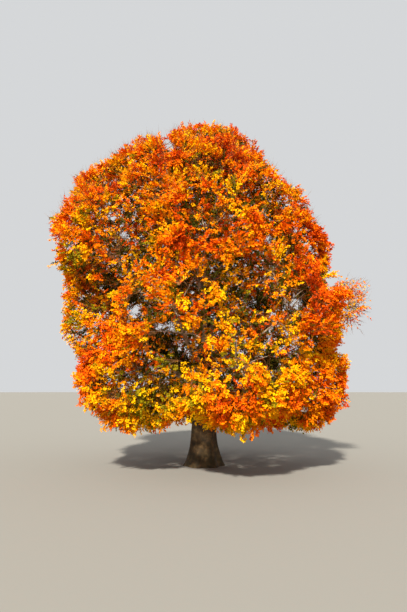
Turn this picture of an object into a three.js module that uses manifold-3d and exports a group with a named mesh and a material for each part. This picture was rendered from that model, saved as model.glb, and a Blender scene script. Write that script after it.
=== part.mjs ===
// A beech that stands alone in a pasture, in full autumn leaf.
//
// The trunk stands on a flat cut at ground level and runs up through the crown as a
// tapering leader. Boughs leave it on all sides, and each ends where it enters a mass of
// foliage. A mass is one solid: a stem, twigs that reach for points spread evenly over the
// mass, a crumpled core, and leaves that stand out of it. A leaf stands for a whole spray.
//
// Millimetres. +Z is up, +X is right and +Y is away from the viewer. The origin is the
// middle of the flat cut under the trunk.

import * as THREE from "three";
import { mergeVertices } from "three/addons/utils/BufferGeometryUtils.js";
import Module from "manifold-3d";

const wasm = await Module();
wasm.setup();

const DEGREE = Math.PI / 180;
const UP = new THREE.Vector3(0, 0, 1);

// Driving dimensions: the trunk.
const TRUNK = {
  top: 16200, // height of the leader's tip, inside the top mass
  tipRadius: 55,
  bodyRadius: 760, // what the radius loses between the ground and the tip
  taper: 1.75,
  flareRadius: 280, // what the root flare adds at the ground
  flareHeight: 620,
  buttresses: 6,
  buttressDepth: 0.3, // of the flare, out and in
  lean: 420, // of the tip, to the right
  sway: 170, // of the middle, towards the viewer
  sides: 18,
  steps: 12,
};

// Driving dimensions: the rings of foliage, from the skirt up. height is that of a mass's
// middle, leftRise is how far the ring rises to its left end and drops to its right end,
// left and right are how far it comes out from the trunk on those sides, and fork is where
// on the trunk the lowest bough leaves, with the others up to forkRun above.
const RINGS = [
  {
    name: "skirt",
    masses: 6,
    height: 4680,
    leftRise: 300,
    left: 7000,
    right: 8000,
    halfWidth: 3200,
    halfHeight: 2600,
    turn: 44,
    tints: ["gold", "amber", "orange"],
  },
  {
    name: "lower",
    masses: 6,
    height: 7900,
    leftRise: 0,
    left: 8150,
    right: 8500,
    halfWidth: 3250,
    halfHeight: 3000,
    turn: 16,
    tints: ["orange", "amber", "copper"],
    fork: 2600,
    forkRun: 1500,
    boughRadius: 235,
  },
  {
    name: "middle",
    masses: 6,
    height: 11300,
    leftRise: 100,
    left: 9000,
    right: 7250,
    halfWidth: 3150,
    halfHeight: 3050,
    turn: 32,
    tints: ["copper", "orange", "amber", "russet"],
    fork: 4700,
    forkRun: 2100,
    boughRadius: 185,
  },
  {
    name: "upper",
    masses: 5,
    height: 14000,
    leftRise: 800,
    left: 7900,
    right: 6100,
    halfWidth: 3250,
    halfHeight: 2800,
    turn: 36,
    tints: ["russet", "olive", "amber", "orange", "copper"],
    fork: 7900,
    forkRun: 1800,
    boughRadius: 130,
  },
  {
    name: "shoulder",
    masses: 3,
    height: 15200,
    leftRise: 400,
    left: 6150,
    right: 4900,
    halfWidth: 2950,
    halfHeight: 2150,
    turn: 80,
    tints: ["olive", "orange", "russet"],
    fork: 12300,
    forkRun: 900,
    boughRadius: 75,
  },
];
const TOP_MASS = {
  centre: new THREE.Vector3(200, 0, 17100),
  halfWidth: 3450,
  halfHeight: 2300,
};
const THIN_SPRAY = {
  centre: new THREE.Vector3(7500, -1500, 8600), // the half-bare arm on the right
  halfWidth: 1550,
  halfHeight: 1500,
  fork: 5600,
  boughRadius: 110,
};

// How far a ring's masses stray from an even round.
const TURN_JITTER = 6; // degrees
const HEIGHT_JITTER = 260;
const REACH_JITTER = 0.025;

// Driving dimensions: the boughs.
const BOUGH = {
  tipRadius: 58,
  collar: 0.4, // how much thicker a bough is where it leaves its parent
  collarRun: 0.07, // of its length
  rise: 52, // degrees above the level, where it leaves the trunk
  tipShare: 0.86, // of a mass's radius, where the bough ends
  sideAt: [0.28, 0.4], // of its parent's length, where one side bough and the next leave
  sideRise: 8,
  sideRadius: 125,
  sideTipRadius: 46,
  sides: 5,
  steps: 5,
};

// Driving dimensions: a mass of foliage.
const STEM = {
  tipRadius: 34,
  knee: 0.5, // of the mass's radius, how far it goes on as its bough points
  reach: 0.42,
  sides: 4,
  steps: 2,
};
const TWIG = {
  tried: 12,
  reach: 0.62, // of the mass's radius
  baseRadius: 42,
  tipRadius: 26,
  turnedIn: 0, // twigs that point further back at the trunk than this don't grow
  sides: 3,
};
const LEAF = {
  length: 0.62, // of the mass's radius, as are the next two
  width: 0.42,
  thickness: 0.02,
  widestAt: 0.5, // of its length
  sunk: 0.06, // of its length, its root inside its twig
  perTwig: 3,
  apart: 0.14, // of its length, from one leaf's root to the next
  leastTilt: 25, // degrees off the twig
  mostTilt: 60,
  tries: 12,
  outermost: 1.1, // of the mass's radius
};
const CORE = { share: 0.56, roughness: 0.36, fromLimb: 150, cutFromLimb: 40 };

const CLEARANCE = 0.3; // between pieces that meet
const SPACE_CLEARANCE = 60; // from a mass to the wall of its space
const LIMB_CLEARANCE = 60; // from twigs to another limb
const LEAF_FROM_LIMB = 400; // from points of a leaf to a limb's side
const LOWEST_LEAF = 1750;
const KNOT_SPACING = 120; // of the points that a limb is kept clear at

const BARK = { color: "#8a7d6a", roughness: 0.9, metalness: 0 };
const TINTS = {
  russet: "#b33a10",
  copper: "#cf4d12",
  orange: "#e4700f",
  amber: "#ee9313",
  gold: "#f0b41c",
  olive: "#8c8322",
};

// Seeded random numbers, so that every run grows the same tree.
function seeded(seed) {
  let state = seed >>> 0;
  return () => {
    state = (state + 0x6d2b79f5) >>> 0;
    let mixed = Math.imul(state ^ (state >>> 15), state | 1);
    mixed ^= mixed + Math.imul(mixed ^ (mixed >>> 7), mixed | 61);
    return ((mixed ^ (mixed >>> 14)) >>> 0) / 4294967296;
  };
}

function stray(random, most) {
  return (2 * random() - 1) * most;
}

function mix(from, to, share) {
  return from + (to - from) * share;
}

// Makes a reach shorter, a little at a time, until it fits.
function drawnIn(reach, fits) {
  let tried = reach;
  while (tried > 0.1 * reach && !fits(tried)) tried *= 0.93;
  return tried;
}

// The unit vector on the level at an angle from +X towards +Y.
function level(angle) {
  return new THREE.Vector3(Math.cos(angle), Math.sin(angle), 0);
}

// A closed geometry with shared corners, as a solid.
function toSolid(shape) {
  return new wasm.Manifold(
    new wasm.Mesh({
      numProp: 3,
      vertProperties: new Float32Array(shape.getAttribute("position").array),
      triVerts: new Uint32Array(shape.index.array),
    }),
  );
}

// A three.js geometry stripped to its corners, each of which stands once.
function corners(shape) {
  shape.deleteAttribute("normal");
  shape.deleteAttribute("uv");
  return mergeVertices(shape, 1e-4);
}

// Moves every corner of a shape to where place() says, and makes it a solid.
function reshaped(shape, place) {
  const bare = corners(shape);
  const position = bare.getAttribute("position");
  const corner = new THREE.Vector3();
  for (let i = 0; i < position.count; i++) {
    const moved = place(corner.fromBufferAttribute(position, i));
    position.setXYZ(i, moved.x, moved.y, moved.z);
  }
  return toSolid(bare);
}

// The largest of a solid's bodies: loose scraps go, and sealed hollows are filled.
function largest(solid) {
  const bodies = solid.decompose();
  return bodies.reduce((a, b) => (a.volume() > b.volume() ? a : b));
}

function toMesh(name, solid, look) {
  const { vertProperties, triVerts, numProp, numVert } = solid.getMesh();
  const position = new Float32Array(numVert * 3);
  for (let i = 0; i < numVert; i++) {
    position.set(vertProperties.subarray(i * numProp, i * numProp + 3), i * 3);
  }
  const shape = new THREE.BufferGeometry();
  shape.setAttribute("position", new THREE.BufferAttribute(position, 3));
  shape.setIndex(new THREE.BufferAttribute(new Uint32Array(triVerts), 1));
  shape.computeVertexNormals();
  const mesh = new THREE.Mesh(shape, new THREE.MeshStandardMaterial(look));
  mesh.name = name;
  return mesh;
}

// A limb is a tapering round on a curve. side lies across its bends, so that its
// rings don't twist.
class Limb {
  constructor(name, curve, side, radiusAt) {
    Object.assign(this, { name, curve, side, radiusAt });
    const count = Math.ceil(curve.getLength() / KNOT_SPACING);
    this.knots = Array.from({ length: count + 1 }, (_, i) => ({
      point: curve.getPoint(i / count),
      radius: radiusAt(i / count),
    }));
  }

  solid(sides, steps, extra = 0) {
    return reshaped(new THREE.CylinderGeometry(1, 1, 1, sides, steps), (corner) => {
      const t = corner.y + 0.5;
      const radius = this.radiusAt(t) + extra;
      const along = this.curve.getTangent(t);
      const across = this.side.clone().addScaledVector(along, -this.side.dot(along));
      across.normalize();
      const third = across.clone().cross(along);
      return this.curve
        .getPoint(t)
        .addScaledVector(across, corner.x * radius)
        .addScaledVector(third, corner.z * radius);
    });
  }
}

// The trunk

function trunkRadius(z) {
  const left = Math.max(0, 1 - z / TRUNK.top);
  return TRUNK.tipRadius + TRUNK.bodyRadius * Math.pow(left, TRUNK.taper);
}

function trunkAxis(z) {
  const up = z / TRUNK.top;
  const bow = (1 - Math.cos(2 * Math.PI * up)) / 2;
  return new THREE.Vector3(TRUNK.lean * up * up, -TRUNK.sway * bow, z);
}

// The root flare swells between the ground and the straight trunk, most on the buttresses.
function flare(z, angle) {
  const lobes = 1 + TRUNK.buttressDepth * Math.cos(TRUNK.buttresses * angle);
  return TRUNK.flareRadius * Math.exp(-z / TRUNK.flareHeight) * lobes;
}

function trunkSolid(extra = 0) {
  const shape = new THREE.CylinderGeometry(1, 1, 1, TRUNK.sides, TRUNK.steps);
  return reshaped(shape, (corner) => {
    const z = TRUNK.top * Math.pow(corner.y + 0.5, 1.6);
    const angle = Math.atan2(-corner.z, corner.x);
    const radius = trunkRadius(z) + flare(z, angle) + extra;
    const out = new THREE.Vector3(corner.x, -corner.z, 0).multiplyScalar(radius);
    return trunkAxis(z).add(out);
  });
}

const trunkKnots = [];
for (let z = 0; z <= TRUNK.top; z += KNOT_SPACING) {
  trunkKnots.push({ point: trunkAxis(z), radius: trunkRadius(z) });
}

// The masses

class Mass {
  constructor(name, seed, centre, halfWidth, halfHeight, tint) {
    Object.assign(this, { name, seed, centre, halfWidth, halfHeight, tint });
    this.size = (2 * halfWidth + halfHeight) / 3;
    this.walls = [];
    this.outward = new THREE.Vector3(centre.x, centre.y, 0.35 * halfWidth).normalize();
  }

  // 1 on the mass's surface, less inside it.
  depth(point) {
    const from = point.clone().sub(this.centre);
    return Math.hypot(
      from.x / this.halfWidth,
      from.y / this.halfWidth,
      from.z / this.halfHeight,
    );
  }

  // The point at a share of the way from the middle to the surface.
  at(direction, share) {
    const unit = this.depth(this.centre.clone().add(direction));
    return this.centre.clone().addScaledVector(direction, share / unit);
  }

  // A wall faces each other mass, nearer the smaller one, and bounds this mass's space.
  raiseWalls(masses) {
    for (const other of masses.filter((mass) => mass !== this)) {
      const towards = other.centre.clone().sub(this.centre);
      const apart = towards.length();
      const away = (apart ** 2 + this.size ** 2 - other.size ** 2) / (2 * apart);
      towards.divideScalar(apart);
      const wall = new THREE.Plane(towards, -towards.dot(this.centre) - away);
      this.walls.push(wall);
    }
  }

  withinWalls(point) {
    return this.walls.every((wall) => wall.distanceToPoint(point) < -SPACE_CLEARANCE);
  }

  holds(point, outermost = 1) {
    return (
      point.z > LOWEST_LEAF &&
      this.depth(point) < outermost &&
      this.withinWalls(point)
    );
  }
}

function ringMasses(ring, ringNumber) {
  return Array.from({ length: ring.masses }, (_, k) => {
    const seed = 100 * (ringNumber + 1) + k;
    const random = seeded(seed);
    const turn = ring.turn + (360 * k) / ring.masses + stray(random, TURN_JITTER);
    const angle = turn * DEGREE;
    const leftness = (1 - Math.cos(angle)) / 2;
    const reach =
      mix(ring.right, ring.left, leftness) * (1 + stray(random, REACH_JITTER));
    const centre = level(angle).multiplyScalar(reach - ring.halfWidth);
    const rise = mix(-ring.leftRise, ring.leftRise, leftness);
    centre.z = ring.height + rise + stray(random, HEIGHT_JITTER);
    const tint = ring.tints[k % ring.tints.length];
    const name = `${ring.name}_${k + 1}`;
    return new Mass(name, seed, centre, ring.halfWidth, ring.halfHeight, tint);
  });
}

const rings = RINGS.map(ringMasses);
const topMass = new Mass(
  "top",
  600,
  TOP_MASS.centre,
  TOP_MASS.halfWidth,
  TOP_MASS.halfHeight,
  "orange",
);
const thinSpray = new Mass(
  "thin",
  700,
  THIN_SPRAY.centre,
  THIN_SPRAY.halfWidth,
  THIN_SPRAY.halfHeight,
  "russet",
);
const masses = [...rings.flat(), topMass, thinSpray];
masses.forEach((mass) => mass.raiseWalls(masses));

// The boughs

// Where a bough that comes from a point ends, at the near side of its mass.
function boughTip(mass, from) {
  const back = from.clone().sub(mass.centre).normalize();
  const fits = (share) => mass.withinWalls(mass.at(back, share));
  return mass.at(back, drawnIn(BOUGH.tipShare, fits));
}

function boughRadius(base, tip) {
  return (t) => {
    const collar = 1 + BOUGH.collar * Math.exp(-t / BOUGH.collarRun);
    return tip + (base * collar - tip) * Math.pow(1 - t, 1.15);
  };
}

// A bough rises at its foot and levels out towards its mass.
function boughCurve(foot, tip, rise) {
  const run = tip.clone().sub(foot);
  const length = run.length();
  const out = new THREE.Vector3(run.x, run.y, 0).normalize();
  const start = out.clone().multiplyScalar(Math.cos(rise));
  start.addScaledVector(UP, Math.sin(rise));
  const end = run.clone().normalize().lerp(out, 0.45).normalize();
  return new THREE.CubicBezierCurve3(
    foot,
    foot.clone().addScaledVector(start, 0.36 * length),
    tip.clone().addScaledVector(end, -0.34 * length),
    tip,
  );
}

// A bough knows the mass it feeds, and how to make its parent's solid, a little larger.
function boughTo(mass, foot, rise, baseRadius, tipRadius, parentSolid) {
  const tip = boughTip(mass, foot);
  const curve = boughCurve(foot, tip, rise * DEGREE);
  const side = level(Math.atan2(tip.y - foot.y, tip.x - foot.x) + Math.PI / 2);
  const radius = boughRadius(baseRadius, tipRadius);
  const limb = new Limb(`bough_${mass.name}`, curve, side, radius);
  return Object.assign(limb, { mass, parentSolid });
}

function trunkBough(mass, height, baseRadius) {
  const foot = trunkAxis(height);
  return boughTo(mass, foot, BOUGH.rise, baseRadius, BOUGH.tipRadius, trunkSolid);
}

// The boughs of a ring leave the trunk one above the other. Going round it, each second
// one comes first and then the rest, so that neighbours never leave at one height.
function ringBoughs(ring, ringNumber) {
  return rings[ringNumber].map((mass, k) => {
    const lap = Math.floor((2 * k) / ring.masses);
    const order = ((2 * k) % ring.masses) + (ring.masses % 2 === 0 ? lap : 0);
    const height = ring.fork + (ring.forkRun * order) / (ring.masses - 1);
    return trunkBough(mass, height, ring.boughRadius);
  });
}

// A side bough leaves the bough that passes nearest above its mass.
function sideBough(mass, number, parents) {
  const share = BOUGH.sideAt[number % 2];
  const away = (limb) => limb.curve.getPoint(share).distanceTo(mass.centre);
  const parent = parents.reduce((a, b) => (away(a) < away(b) ? a : b));
  const parentSolid = (extra) => parent.solid(BOUGH.sides, BOUGH.steps, extra);
  return boughTo(
    mass,
    parent.curve.getPoint(share),
    BOUGH.sideRise,
    BOUGH.sideRadius,
    BOUGH.sideTipRadius,
    parentSolid,
  );
}

const lowerBoughs = ringBoughs(RINGS[1], 1);
const boughs = [
  ...rings[0].map((mass, number) => sideBough(mass, number, lowerBoughs)),
  ...lowerBoughs,
  ...ringBoughs(RINGS[2], 2),
  ...ringBoughs(RINGS[3], 3),
  ...ringBoughs(RINGS[4], 4),
  trunkBough(thinSpray, THIN_SPRAY.fork, THIN_SPRAY.boughRadius),
];
const limbKnots = [...trunkKnots, ...boughs.flatMap((limb) => limb.knots)];

function clearOfLimbs(point, reach) {
  return limbKnots.every(
    (knot) => point.distanceTo(knot.point) > knot.radius + reach,
  );
}

// The foliage

// A stem goes on from its bough's tip, or the trunk's, through the mass's middle.
function stemOf(mass) {
  const bough = boughs.find((limb) => limb.mass === mass);
  const tip = bough ? bough.curve.getPoint(1) : trunkAxis(TRUNK.top);
  const along = bough ? bough.curve.getTangent(1) : UP.clone();
  const baseRadius = bough ? bough.radiusAt(1) : trunkRadius(TRUNK.top);
  const foot = tip.clone().addScaledVector(along, CLEARANCE);
  const kneeAt = (reach) => foot.clone().addScaledVector(along, reach * mass.size);
  const knee = kneeAt(drawnIn(STEM.knee, (reach) => mass.withinWalls(kneeAt(reach))));
  const end = mass.at(mass.outward, STEM.reach);
  const curve = new THREE.QuadraticBezierCurve3(foot, knee, end);
  const side = bough ? bough.side : level(Math.PI / 2);
  return new Limb(mass.name, curve, side, (t) => mix(baseRadius, STEM.tipRadius, t));
}

// Directions spread evenly over a ball.
function evenDirection(number, count, turn) {
  const z = 1 - (2 * number + 1) / count;
  const angle = number * Math.PI * (3 - Math.sqrt(5)) + turn;
  return level(angle)
    .multiplyScalar(Math.sqrt(1 - z * z))
    .setZ(z);
}

// A twig leaves the stem below the point nearest its target and runs straight to it.
function twigTo(mass, stem, target) {
  const away = (t) => stem.curve.getPoint(t).distanceTo(target);
  const steps = Array.from({ length: 9 }, (_, i) => 0.2 + 0.1 * i);
  const nearest = steps.reduce((a, b) => (away(a) < away(b) ? a : b));
  const foot = stem.curve.getPoint(Math.max(0.15, nearest - 0.2));
  const side = target.clone().sub(foot).cross(UP).normalize();
  const radiusAt = (t) => mix(TWIG.baseRadius, TWIG.tipRadius, t);
  return new Limb(mass.name, new THREE.LineCurve3(foot, target), side, radiusAt);
}

function growTwigs(mass, stem) {
  const random = seeded(mass.seed + 5000);
  const turn = random() * 2 * Math.PI;
  const twigs = [];
  for (let n = 0; n < TWIG.tried; n++) {
    const aim = evenDirection(n, TWIG.tried, turn);
    const target = mass.at(aim, TWIG.reach * (1 + stray(random, 0.1)));
    const twig = twigTo(mass, stem, target);
    const free = twig.knots
      .slice(Math.floor(twig.knots.length / 4))
      .every(({ point }) => mass.holds(point) && clearOfLimbs(point, LIMB_CLEARANCE));
    if (free && aim.dot(mass.outward) > TWIG.turnedIn) twigs.push(twig);
  }
  return twigs;
}

// A leaf lies along x and across y, and faces z. Its length is 1 on its own axes.
function leafAxes(mass, root, along, face) {
  const across = face.clone().cross(along).normalize();
  const out = along.clone().cross(across);
  const axes = new THREE.Matrix4().makeBasis(along, across, out);
  const length = LEAF.length * mass.size;
  return axes.scale(new THREE.Vector3(length, length, length)).setPosition(root);
}

// Places a corner of an octahedron on the leaf.
function leafCorner({ x, y, z }) {
  const at = x < 0 ? 0 : mix(LEAF.widestAt, 1, x);
  const halfWidth = LEAF.width / LEAF.length / 2;
  const halfThickness = LEAF.thickness / LEAF.length / 2;
  return new THREE.Vector3(at, y * halfWidth, z * halfThickness);
}

const LEAF_OUTLINE = [
  { x: -1, y: 0, z: 0 },
  { x: 0, y: -1, z: 0 },
  { x: 1, y: 0, z: 0 },
  { x: 0, y: 1, z: 0 },
].map(leafCorner);

// Whether a point of the leaf's plane is on the leaf.
function onLeaf({ x, y }) {
  const slant = x < LEAF.widestAt ? x / LEAF.widestAt : (1 - x) / (1 - LEAF.widestAt);
  return Math.abs(y) < slant * (LEAF.width / LEAF.length / 2);
}

// Whether the edge of one leaf passes through another.
function pierces(axes, other) {
  const toOther = other.clone().invert().multiply(axes);
  const outline = LEAF_OUTLINE.map((corner) => corner.clone().applyMatrix4(toOther));
  return outline.some((from, i) => {
    const to = outline[(i + 1) % outline.length];
    const crosses = from.z * to.z < 0;
    return crosses && onLeaf(from.clone().lerp(to, from.z / (from.z - to.z)));
  });
}

// A limb that passed through a leaf would come near one of the outline's corners or of
// the points along the middle.
const LEAF_MIDDLE = [0.25, 0.5, 0.75].map((x) => new THREE.Vector3(x, 0, 0));

function leafFits(mass, axes, others) {
  const place = (point) => point.clone().applyMatrix4(axes);
  const outline = LEAF_OUTLINE.map(place);
  const points = [...outline, ...LEAF_MIDDLE.map(place)];
  return (
    outline.every((point) => mass.holds(point, LEAF.outermost)) &&
    points.every((point) => clearOfLimbs(point, LEAF_FROM_LIMB)) &&
    !others.some((other) => pierces(axes, other) || pierces(other, axes))
  );
}

// Tries a leaf on a twig at a few angles, and gives the first that keeps to its space.
// Its face is turned outwards, so that the leaves of a mass overlap like shingles.
function leafOn(mass, twig, number, others, random) {
  const forward = twig.curve.getTangent(1);
  const back = (LEAF.sunk + LEAF.apart * number) * LEAF.length * mass.size;
  const root = twig.curve.getPoint(1).addScaledVector(forward, -back);
  const right = forward.clone().cross(UP).normalize();
  const above = right.clone().cross(forward);
  let found = null;
  for (let n = 0; n < LEAF.tries; n++) {
    const turn = (360 * (number + 0.25)) / LEAF.perTwig + stray(random, 38);
    const tilt = mix(LEAF.leastTilt, LEAF.mostTilt, random()) * DEGREE;
    const sideways = right
      .clone()
      .multiplyScalar(Math.cos(turn * DEGREE))
      .addScaledVector(above, Math.sin(turn * DEGREE));
    const along = forward
      .clone()
      .multiplyScalar(Math.cos(tilt))
      .addScaledVector(sideways, Math.sin(tilt));
    const face = forward
      .clone()
      .multiplyScalar(Math.sin(tilt))
      .addScaledVector(sideways, -Math.cos(tilt));
    const axes = leafAxes(mass, root, along, face);
    if (!found && leafFits(mass, axes, others)) found = axes;
  }
  return found;
}

function leafSolid(axes) {
  return reshaped(new THREE.OctahedronGeometry(1, 0), (corner) =>
    leafCorner(corner).applyMatrix4(axes),
  );
}

function growLeaves(mass, twigs) {
  const random = seeded(mass.seed + 9000);
  const leaves = [];
  for (const twig of twigs) {
    for (let number = 0; number < LEAF.perTwig; number++) {
      const axes = leafOn(mass, twig, number, leaves, random);
      if (axes) leaves.push(axes);
    }
  }
  return leaves.map(leafSolid);
}

// The limbs, made wider, to cut the cores with.
const widerLimbs = boughs
  .map((bough) => bough.solid(BOUGH.sides, BOUGH.steps, CORE.cutFromLimb))
  .reduce((solid, bough) => solid.add(bough), trunkSolid(CORE.cutFromLimb));

// The core is a crumpled ball. Each corner is drawn in until it is inside the walls and
// clear of the limbs, and where one still passes through a face, it is cut away.
function coreSolid(mass) {
  const random = seeded(mass.seed + 7000);
  const ball = reshaped(new THREE.IcosahedronGeometry(1, 1), (corner) => {
    const direction = corner.clone().normalize();
    const share = CORE.share * (1 + stray(random, CORE.roughness));
    const fits = (tried) => {
      const point = mass.at(direction, tried);
      return mass.withinWalls(point) && clearOfLimbs(point, CORE.fromLimb);
    };
    return mass.at(direction, drawnIn(share, fits));
  });
  return largest(ball.subtract(widerLimbs));
}

function massSolid(mass) {
  const stem = stemOf(mass);
  const twigs = growTwigs(mass, stem);
  const parts = [
    ...twigs.map((twig) => twig.solid(TWIG.sides, 1)),
    ...growLeaves(mass, twigs),
  ];
  if (mass !== thinSpray) parts.push(coreSolid(mass));
  const joined = parts.reduce(
    (solid, part) => solid.add(part),
    stem.solid(STEM.sides, STEM.steps),
  );
  return largest(joined);
}

function boughSolid(bough) {
  const whole = bough.solid(BOUGH.sides, BOUGH.steps);
  return largest(whole.subtract(bough.parentSolid(CLEARANCE)));
}

const tree = new THREE.Group();
tree.add(toMesh("trunk", trunkSolid(), BARK));
for (const bough of boughs) {
  tree.add(toMesh(bough.name, boughSolid(bough), BARK));
}
for (const mass of masses) {
  const look = { color: TINTS[mass.tint], roughness: 0.7, metalness: 0 };
  tree.add(toMesh(`foliage_${mass.name}`, massSolid(mass), look));
}

export default tree;
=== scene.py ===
# %% [markdown]
# This beech stands alone, in full autumn leaf. The construction model gives the trunk, the
# boughs and one solid for each mass of foliage. This script dresses it: bark with its relief
# on trunk and boughs, and in place of each mass the limbs, branchlets, twigs and leaves of a
# real crown. All of it grows by one seeded rule, so every run gives the same tree. Lengths
# are metres, +Z is up, and the origin is the middle of the trunk's foot.

import math

import bmesh
import bpy
import numpy as np
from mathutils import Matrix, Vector, kdtree, noise


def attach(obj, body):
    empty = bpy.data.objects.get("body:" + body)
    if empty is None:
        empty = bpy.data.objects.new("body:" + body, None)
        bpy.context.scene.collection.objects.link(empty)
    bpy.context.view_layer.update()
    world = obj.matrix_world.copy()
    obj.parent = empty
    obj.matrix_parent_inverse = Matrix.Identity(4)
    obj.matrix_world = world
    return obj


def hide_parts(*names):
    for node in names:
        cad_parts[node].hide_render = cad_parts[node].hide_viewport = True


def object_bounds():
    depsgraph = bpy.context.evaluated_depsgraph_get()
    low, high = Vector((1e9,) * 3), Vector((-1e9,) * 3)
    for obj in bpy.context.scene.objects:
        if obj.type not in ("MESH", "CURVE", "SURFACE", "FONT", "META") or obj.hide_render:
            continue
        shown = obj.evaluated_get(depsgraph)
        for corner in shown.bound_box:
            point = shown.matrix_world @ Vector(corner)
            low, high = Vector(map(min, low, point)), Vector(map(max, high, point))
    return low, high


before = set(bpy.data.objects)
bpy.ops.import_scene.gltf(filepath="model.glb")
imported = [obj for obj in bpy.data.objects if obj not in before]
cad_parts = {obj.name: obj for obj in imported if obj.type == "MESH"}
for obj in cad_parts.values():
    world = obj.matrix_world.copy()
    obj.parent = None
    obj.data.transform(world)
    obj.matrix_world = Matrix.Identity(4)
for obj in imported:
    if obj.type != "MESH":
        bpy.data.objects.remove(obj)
cad_box = [list(corner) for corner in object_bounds()]
FOLIAGE_NODES = sorted(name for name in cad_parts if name.startswith("foliage_"))
BOUGH_NODES = sorted(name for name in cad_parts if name.startswith("bough_"))
print(len(FOLIAGE_NODES), "masses,", len(BOUGH_NODES), "boughs, in a box", cad_box)


def placed(name, data):
    """A new object of the scene."""
    thing = bpy.data.objects.new(name, data)
    bpy.context.scene.collection.objects.link(thing)
    return thing


# %% [markdown]
# The camera has the photograph's view of the tree. Its lens is taken to be 28 mm, and then the
# picture fits if it looks up by 10 degrees. The tree's size is an estimate, and with it the
# camera is some 27 m from the trunk and 4 m above the tree's foot.

# %% Camera
EYE = np.array([0, -26.8, 4.0])
LOOKING_UP = math.radians(10)
LENS, PICTURE = 28.0, 36  # millimetres, the lens and the picture's long side
FARTHEST = 3000  # that the camera sees

camera_data = bpy.data.cameras.new("camera")
camera_data.lens = LENS
camera_data.sensor_width = PICTURE
camera_data.clip_end = FARTHEST
camera = placed("camera", camera_data)
camera.location = EYE
camera.rotation_euler = (math.pi / 2 + LOOKING_UP, 0, 0)
bpy.context.scene.camera = camera

# %% [markdown]
# Every colour is written as a web colour, which one function turns into the linear numbers
# that shaders use. One more function adds a node, with its settings and its links. A surface
# that is plain, such as a leaf's, needs no more than a colour, a roughness and a gloss.

# %% Colours and nodes


def linear(web_colour):
    """Linear red, green, blue and alpha of a colour such as #e4700f."""
    shares = [int(web_colour[i : i + 2], 16) / 255 for i in (1, 3, 5)]
    return [s / 12.92 if s <= 0.04045 else ((s + 0.055) / 1.055) ** 2.4 for s in shares] + [1]


def add_node(tree, kind, inputs=None, **settings):
    """A node with its settings. Each input is a value, or another node's output to link."""
    node = tree.nodes.new(kind)
    for name, value in settings.items():
        setattr(node, name, value)
    for name, value in (inputs or {}).items():
        if isinstance(value, bpy.types.NodeSocket):
            tree.links.new(value, node.inputs[name])
        else:
            node.inputs[name].default_value = value
    return node


def new_material(name):
    """An empty material and its node tree."""
    material = bpy.data.materials.new(name)
    material.use_nodes = True
    material.node_tree.nodes.clear()
    return material, material.node_tree


def plain_material(name, colour, roughness, gloss):
    """A material that is the same all over."""
    material, tree = new_material(name)
    shader = add_node(
        tree,
        "ShaderNodeBsdfPrincipled",
        {"Base Color": linear(colour), "Roughness": roughness, "Specular IOR Level": gloss},
    )
    add_node(tree, "ShaderNodeOutputMaterial", {"Surface": shader.outputs[0]})
    material.diffuse_color = linear(colour)
    return material


# %% [markdown]
# The tree stands on a wide pale floor under a pale sky. The side of the crown that the camera
# sees is bright in the photograph, so the key light stands behind the camera, a little to its
# left, and it is broad enough to give soft edges. The view keeps colours as they are, because
# the leaves are near the edge of what a screen can show.

# %% Floor and light
FLOOR_RADIUS, FLOOR_SIDES = 900.0, 96
FLOOR_COLOUR = "#8f8c85"
SKY_COLOUR = "#eef0f2"
SKY_STRENGTH = 0.78
SUN_STRENGTH = 6.8
SUN_COLOUR = (1, 0.95, 0.86)
SUN_ANGLE = math.radians(4)
SUN_HEIGHT = math.radians(38)
SUN_FROM_LEFT = math.radians(12)

floor_shape = bmesh.new()
bmesh.ops.create_circle(
    floor_shape, cap_ends=True, segments=FLOOR_SIDES, radius=FLOOR_RADIUS
)
floor_mesh = bpy.data.meshes.new("floor")
floor_shape.to_mesh(floor_mesh)
floor_shape.free()
floor_mesh.materials.append(
    plain_material("pale matt floor", FLOOR_COLOUR, roughness=0.9, gloss=0.2)
)
placed("floor", floor_mesh)

sky = bpy.data.worlds.new("pale sky")
sky.use_nodes = True
sky.node_tree.nodes.clear()
sky_light = add_node(
    sky.node_tree,
    "ShaderNodeBackground",
    {"Color": linear(SKY_COLOUR), "Strength": SKY_STRENGTH},
)
add_node(sky.node_tree, "ShaderNodeOutputWorld", {"Surface": sky_light.outputs[0]})
bpy.context.scene.world = sky

sun_data = bpy.data.lights.new("sun", "SUN")
sun_data.energy = SUN_STRENGTH
sun_data.angle = SUN_ANGLE
sun_data.color = SUN_COLOUR
sun = placed("sun", sun_data)
sun.rotation_euler = (math.pi / 2 - SUN_HEIGHT, 0, -SUN_FROM_LEFT)
bpy.context.scene.view_settings.view_transform = "Standard"

# %% [markdown]
# Beech bark is thin and smooth for the tree's whole life. On the boughs it is silver grey to
# tan. The trunk's bark is darker and browner, as painted shade for the crown's shade on it.
# Bark has pale lichen blotches as wide as a hand, green algae low down, and fine creases that
# run across. The patterns are noise at those sizes, and the creases are the same noise
# squeezed upwards. The finest grain is drawn coarser than it is, because it would be too fine
# to show.

# %% Bark
BLOTCH = 0.26  # of lichen
BLOTCH_STEPS = (0.34, 0.5, 0.68)  # of the noise, where dark, middle and pale bark are
PATCH = 0.9  # of algae
ALGAE_TOP = 3.5  # metres above the ground
ALGAE_SHARES = (0.75, 0.1)  # at the ground, and from the algae's top upwards
CREASE = 0.045  # high
CREASE_STRETCH = 5.0  # how many times as wide as high
CREASE_DEPTH = 0.006
GRAIN = 0.014
GRAIN_DEPTH = 0.002
BARK_ROUGHNESS, BARK_GLOSS = 0.82, 0.35


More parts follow.
